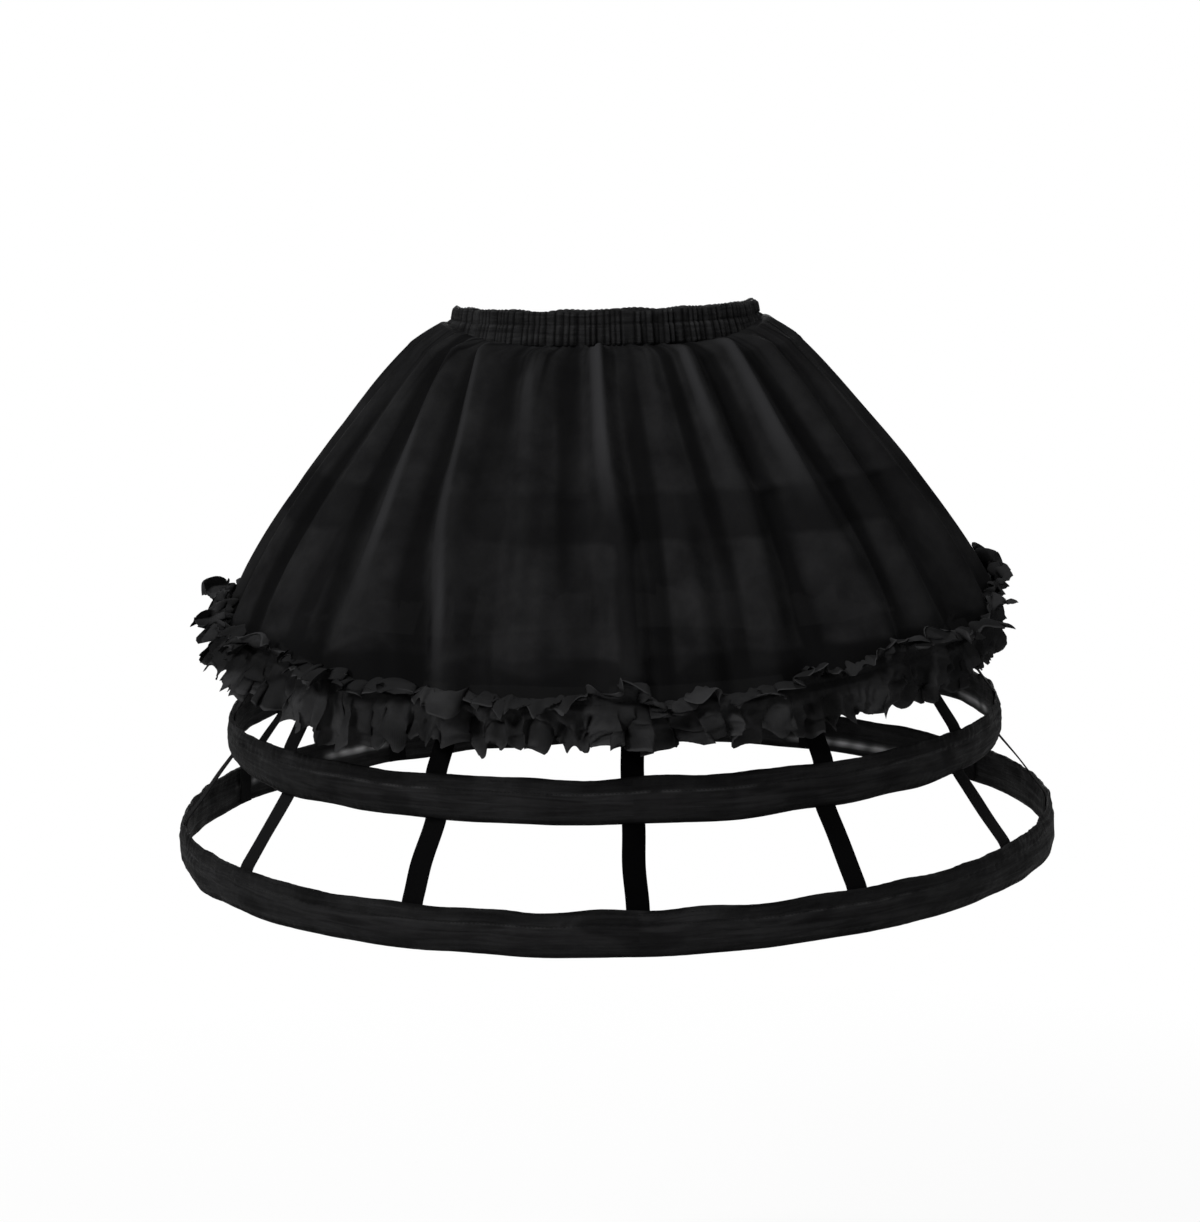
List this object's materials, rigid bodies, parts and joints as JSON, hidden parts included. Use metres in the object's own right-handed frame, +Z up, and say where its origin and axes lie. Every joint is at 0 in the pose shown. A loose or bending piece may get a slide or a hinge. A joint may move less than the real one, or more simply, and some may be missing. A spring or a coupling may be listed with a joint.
{
  "type": "crinoline cage",
  "caption": "Short worn cage petticoat: elastic waistband, boned hoops hung on ribbon tapes, and a gathered sheer overskirt with a ruched frill at its hem.",
  "frame": {"origin": "centre of the waist opening, at mid height of the waistband", "axes": "+Z up along the waist axis, -Y to the front, +X to the viewer's right"},
  "size_m": [0.6799, 0.68, 0.4165],
  "materials": {
    "waistband_cloth": "gathered matt black cloth",
    "elastic": "woven elastic",
    "organza": "sheer black organza",
    "organza_frill": "ruched black organza with a soft sheen",
    "hoop_cloth": "matt black cloth, two plies",
    "bone_steel": "flat spring steel",
    "joiner_steel": "crimped steel sleeve",
    "ribbon": "ribbed black ribbon"
  },
  "bodies": {
    "root": {"waistband_casing": "waistband_cloth", "waist_elastic": "elastic", "overskirt": "organza", "hem_frill": "organza_frill", "hoop_1_casing": "hoop_cloth", "hoop_2_casing": "hoop_cloth", "hoop_3_casing": "hoop_cloth", "hoop_4_casing": "hoop_cloth", "hoop_1_bone": "bone_steel", "hoop_2_bone": "bone_steel", "hoop_3_bone": "bone_steel", "hoop_4_bone": "bone_steel", "hoop_1_joiner": "joiner_steel", "hoop_2_joiner": "joiner_steel", "hoop_3_joiner": "joiner_steel", "hoop_4_joiner": "joiner_steel", "tape_01": "ribbon", "tape_02": "ribbon", "tape_03": "ribbon", "tape_04": "ribbon", "tape_05": "ribbon", "tape_06": "ribbon", "tape_07": "ribbon", "tape_08": "ribbon", "tape_09": "ribbon", "tape_10": "ribbon", "tape_11": "ribbon", "tape_12": "ribbon"}
  },
  "joints": []
}
